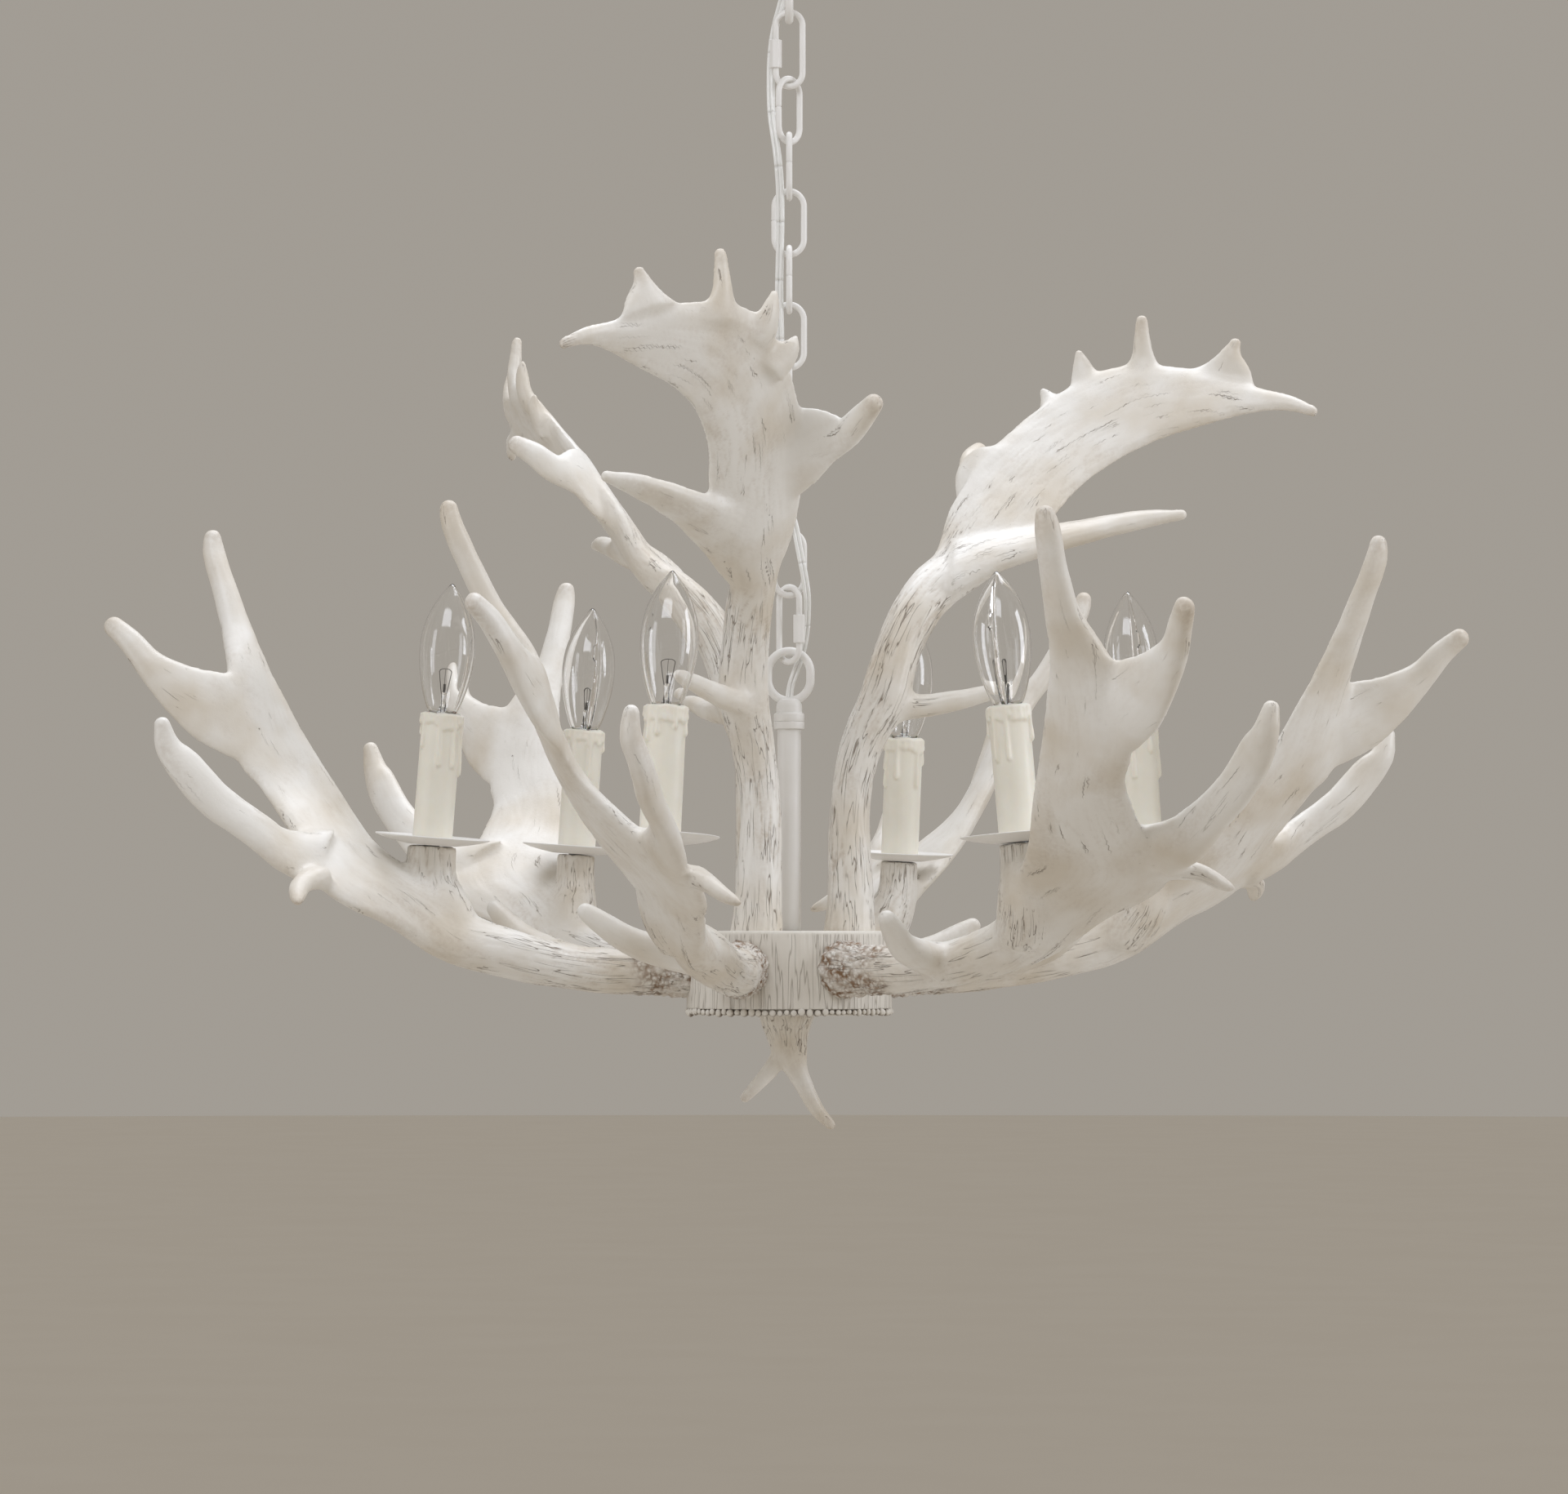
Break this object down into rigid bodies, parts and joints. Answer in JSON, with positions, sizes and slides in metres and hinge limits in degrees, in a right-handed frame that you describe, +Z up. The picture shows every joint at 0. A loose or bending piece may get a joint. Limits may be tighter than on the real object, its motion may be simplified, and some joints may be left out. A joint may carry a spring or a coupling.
{
  "type": "antler chandelier",
  "caption": "Ceiling chandelier of cast antlers round a drum, with candle lights on drip pans, hung from a ceiling canopy by a chain with its cord beside it.",
  "frame": {"origin": "centre of the mounting strap against the ceiling, above the stem", "axes": "+Z up into the ceiling, +X to the viewer's right in the picture, +Y away from the viewer"},
  "size_m": [0.8641, 0.8077, 0.7753],
  "materials": {
    "antler": "cast resin, ivory with a grey-brown wash in its grooves",
    "drum_paint": "antiqued ivory paint, grooved like bark",
    "white_paint": "satin off-white paint",
    "candle": "waxy ivory with moulded drips",
    "socket": "plain moulded",
    "plain_steel": "zinc plated",
    "cord": "clear insulation over tinned strands",
    "branch_wire": "insulated wire",
    "connector": "twist-on caps",
    "glass": "clear",
    "base_metal": "bright"
  },
  "bodies": {
    "ceiling_mount": {"mounting_strap": "plain_steel", "canopy_nipple": "plain_steel", "nipple_locknut": "plain_steel", "canopy": "white_paint", "canopy_loop": "white_paint", "supply_cord": "cord"},
    "collar": {"canopy_collar": "white_paint"},
    "top_quick_link": {"top_quick_link": "white_paint"},
    "top_link_nut": {"top_link_nut": "white_paint"},
    "chain_link_1": {"chain_link_1": "white_paint"},
    "chain_link_2": {"chain_link_2": "white_paint"},
    "chain_link_3": {"chain_link_3": "white_paint"},
    "chain_link_4": {"chain_link_4": "white_paint"},
    "chain_link_5": {"chain_link_5": "white_paint"},
    "chain_link_6": {"chain_link_6": "white_paint"},
    "chain_link_7": {"chain_link_7": "white_paint"},
    "chain_link_8": {"chain_link_8": "white_paint"},
    "chain_link_9": {"chain_link_9": "white_paint"},
    "bottom_quick_link": {"bottom_quick_link": "white_paint"},
    "bottom_link_nut": {"bottom_link_nut": "white_paint"},
    "fixture": {"fixture_loop": "white_paint", "stem_collar": "white_paint", "stem_tube": "white_paint", "centre_rod": "plain_steel", "rod_nuts": "plain_steel", "hub_shell": "drum_paint", "hub_bottom_plate": "drum_paint", "finial": "antler", "lower_antler_bolts": "plain_steel", "upper_antler_bolts": "plain_steel", "drip_pans": "white_paint", "pan_nipples": "plain_steel", "candle_sockets": "socket", "candle_sleeves": "candle", "stem_cord": "cord", "branch_wires": "branch_wire", "wire_connectors": "connector", "lower_antler_1": "antler", "lower_antler_2": "antler", "lower_antler_3": "antler", "lower_antler_4": "antler", "lower_antler_5": "antler", "lower_antler_6": "antler", "upper_antler_1": "antler", "upper_antler_2": "antler", "upper_antler_3": "antler"},
    "bulb_1": {"bulb_base_1": "base_metal", "bulb_glass_1": "glass"},
    "bulb_2": {"bulb_base_2": "base_metal", "bulb_glass_2": "glass"},
    "bulb_3": {"bulb_base_3": "base_metal", "bulb_glass_3": "glass"},
    "bulb_4": {"bulb_base_4": "base_metal", "bulb_glass_4": "glass"},
    "bulb_5": {"bulb_base_5": "base_metal", "bulb_glass_5": "glass"},
    "bulb_6": {"bulb_base_6": "base_metal", "bulb_glass_6": "glass"}
  },
  "joints": [
    {"name": "top_quick_link_swing", "type": "hinge", "parent": "ceiling_mount", "child": "top_quick_link", "pos_m": [0, 0, -0.0688], "axis": [0, 1, 0], "range_deg": [-6, 6], "deforming": ["supply_cord"]},
    {"name": "chain_link_1_swing", "type": "hinge", "parent": "top_quick_link", "child": "chain_link_1", "pos_m": [0, 0, -0.1113], "axis": [1, 0, 0], "range_deg": [-6, 6], "deforming": ["supply_cord"]},
    {"name": "chain_link_2_swing", "type": "hinge", "parent": "chain_link_1", "child": "chain_link_2", "pos_m": [0, 0, -0.14697], "axis": [0.7071, 0.7071, 0], "range_deg": [-6, 6], "deforming": ["supply_cord"]},
    {"name": "chain_link_3_swing", "type": "hinge", "parent": "chain_link_2", "child": "chain_link_3", "pos_m": [0, 0, -0.18275], "axis": [0, 1, 0], "range_deg": [-6, 6], "deforming": ["supply_cord"]},
    {"name": "chain_link_4_swing", "type": "hinge", "parent": "chain_link_3", "child": "chain_link_4", "pos_m": [0, 0, -0.21895], "axis": [1, 0, 0], "range_deg": [-6, 6], "deforming": ["supply_cord"]},
    {"name": "chain_link_5_swing", "type": "hinge", "parent": "chain_link_4", "child": "chain_link_5", "pos_m": [0, 0, -0.25515], "axis": [0, 1, 0], "range_deg": [-6, 6], "deforming": ["supply_cord"]},
    {"name": "chain_link_6_swing", "type": "hinge", "parent": "chain_link_5", "child": "chain_link_6", "pos_m": [0, 0, -0.29135], "axis": [1, 0, 0], "range_deg": [-6, 6], "deforming": ["supply_cord"]},
    {"name": "chain_link_7_swing", "type": "hinge", "parent": "chain_link_6", "child": "chain_link_7", "pos_m": [0, 0, -0.32755], "axis": [0, 1, 0], "range_deg": [-6, 6], "deforming": ["supply_cord"]},
    {"name": "chain_link_8_swing", "type": "hinge", "parent": "chain_link_7", "child": "chain_link_8", "pos_m": [0, 0, -0.36375], "axis": [1, 0, 0], "range_deg": [-6, 6], "deforming": ["supply_cord"]},
    {"name": "chain_link_9_swing", "type": "hinge", "parent": "chain_link_8", "child": "chain_link_9", "pos_m": [0, 0, -0.39995], "axis": [0, 1, 0], "range_deg": [-6, 6], "deforming": ["supply_cord"]},
    {"name": "bottom_quick_link_swing", "type": "hinge", "parent": "chain_link_9", "child": "bottom_quick_link", "pos_m": [0, 0, -0.43615], "axis": [1, 0, 0], "range_deg": [-6, 6], "deforming": ["supply_cord"]},
    {"name": "fixture_swing", "type": "hinge", "parent": "bottom_quick_link", "child": "fixture", "pos_m": [0, 0, -0.47849], "axis": [0.7431, -0.6691, 0], "range_deg": [-6, 6], "deforming": ["supply_cord"]},
    {"name": "collar_unscrew", "type": "slide", "parent": "ceiling_mount", "child": "collar", "axis": [0, 0, -1], "range_m": [0, 0.05]},
    {"name": "top_nut_unscrew", "type": "slide", "parent": "top_quick_link", "child": "top_link_nut", "axis": [0, 0, 1], "range_m": [0, 0.009]},
    {"name": "bottom_nut_unscrew", "type": "slide", "parent": "bottom_quick_link", "child": "bottom_link_nut", "axis": [0, 0, 1], "range_m": [0, 0.009]},
    {"name": "bulb_1_out", "type": "slide", "parent": "fixture", "child": "bulb_1", "axis": [-0.0628, -0.025, 0.9977], "range_m": [0, 0.024]},
    {"name": "bulb_2_out", "type": "slide", "parent": "fixture", "child": "bulb_2", "axis": [0.0398, -0.0425, 0.9983], "range_m": [0, 0.024]},
    {"name": "bulb_3_out", "type": "slide", "parent": "fixture", "child": "bulb_3", "axis": [0.0673, -0.0133, 0.9976], "range_m": [0, 0.024]},
    {"name": "bulb_4_out", "type": "slide", "parent": "fixture", "child": "bulb_4", "axis": [0.0793, -0.0341, 0.9963], "range_m": [0, 0.024]},
    {"name": "bulb_5_out", "type": "slide", "parent": "fixture", "child": "bulb_5", "axis": [0.0459, 0.0453, 0.9979], "range_m": [0, 0.024]},
    {"name": "bulb_6_out", "type": "slide", "parent": "fixture", "child": "bulb_6", "axis": [-0.0864, 0.0126, 0.9962], "range_m": [0, 0.024]}
  ]
}
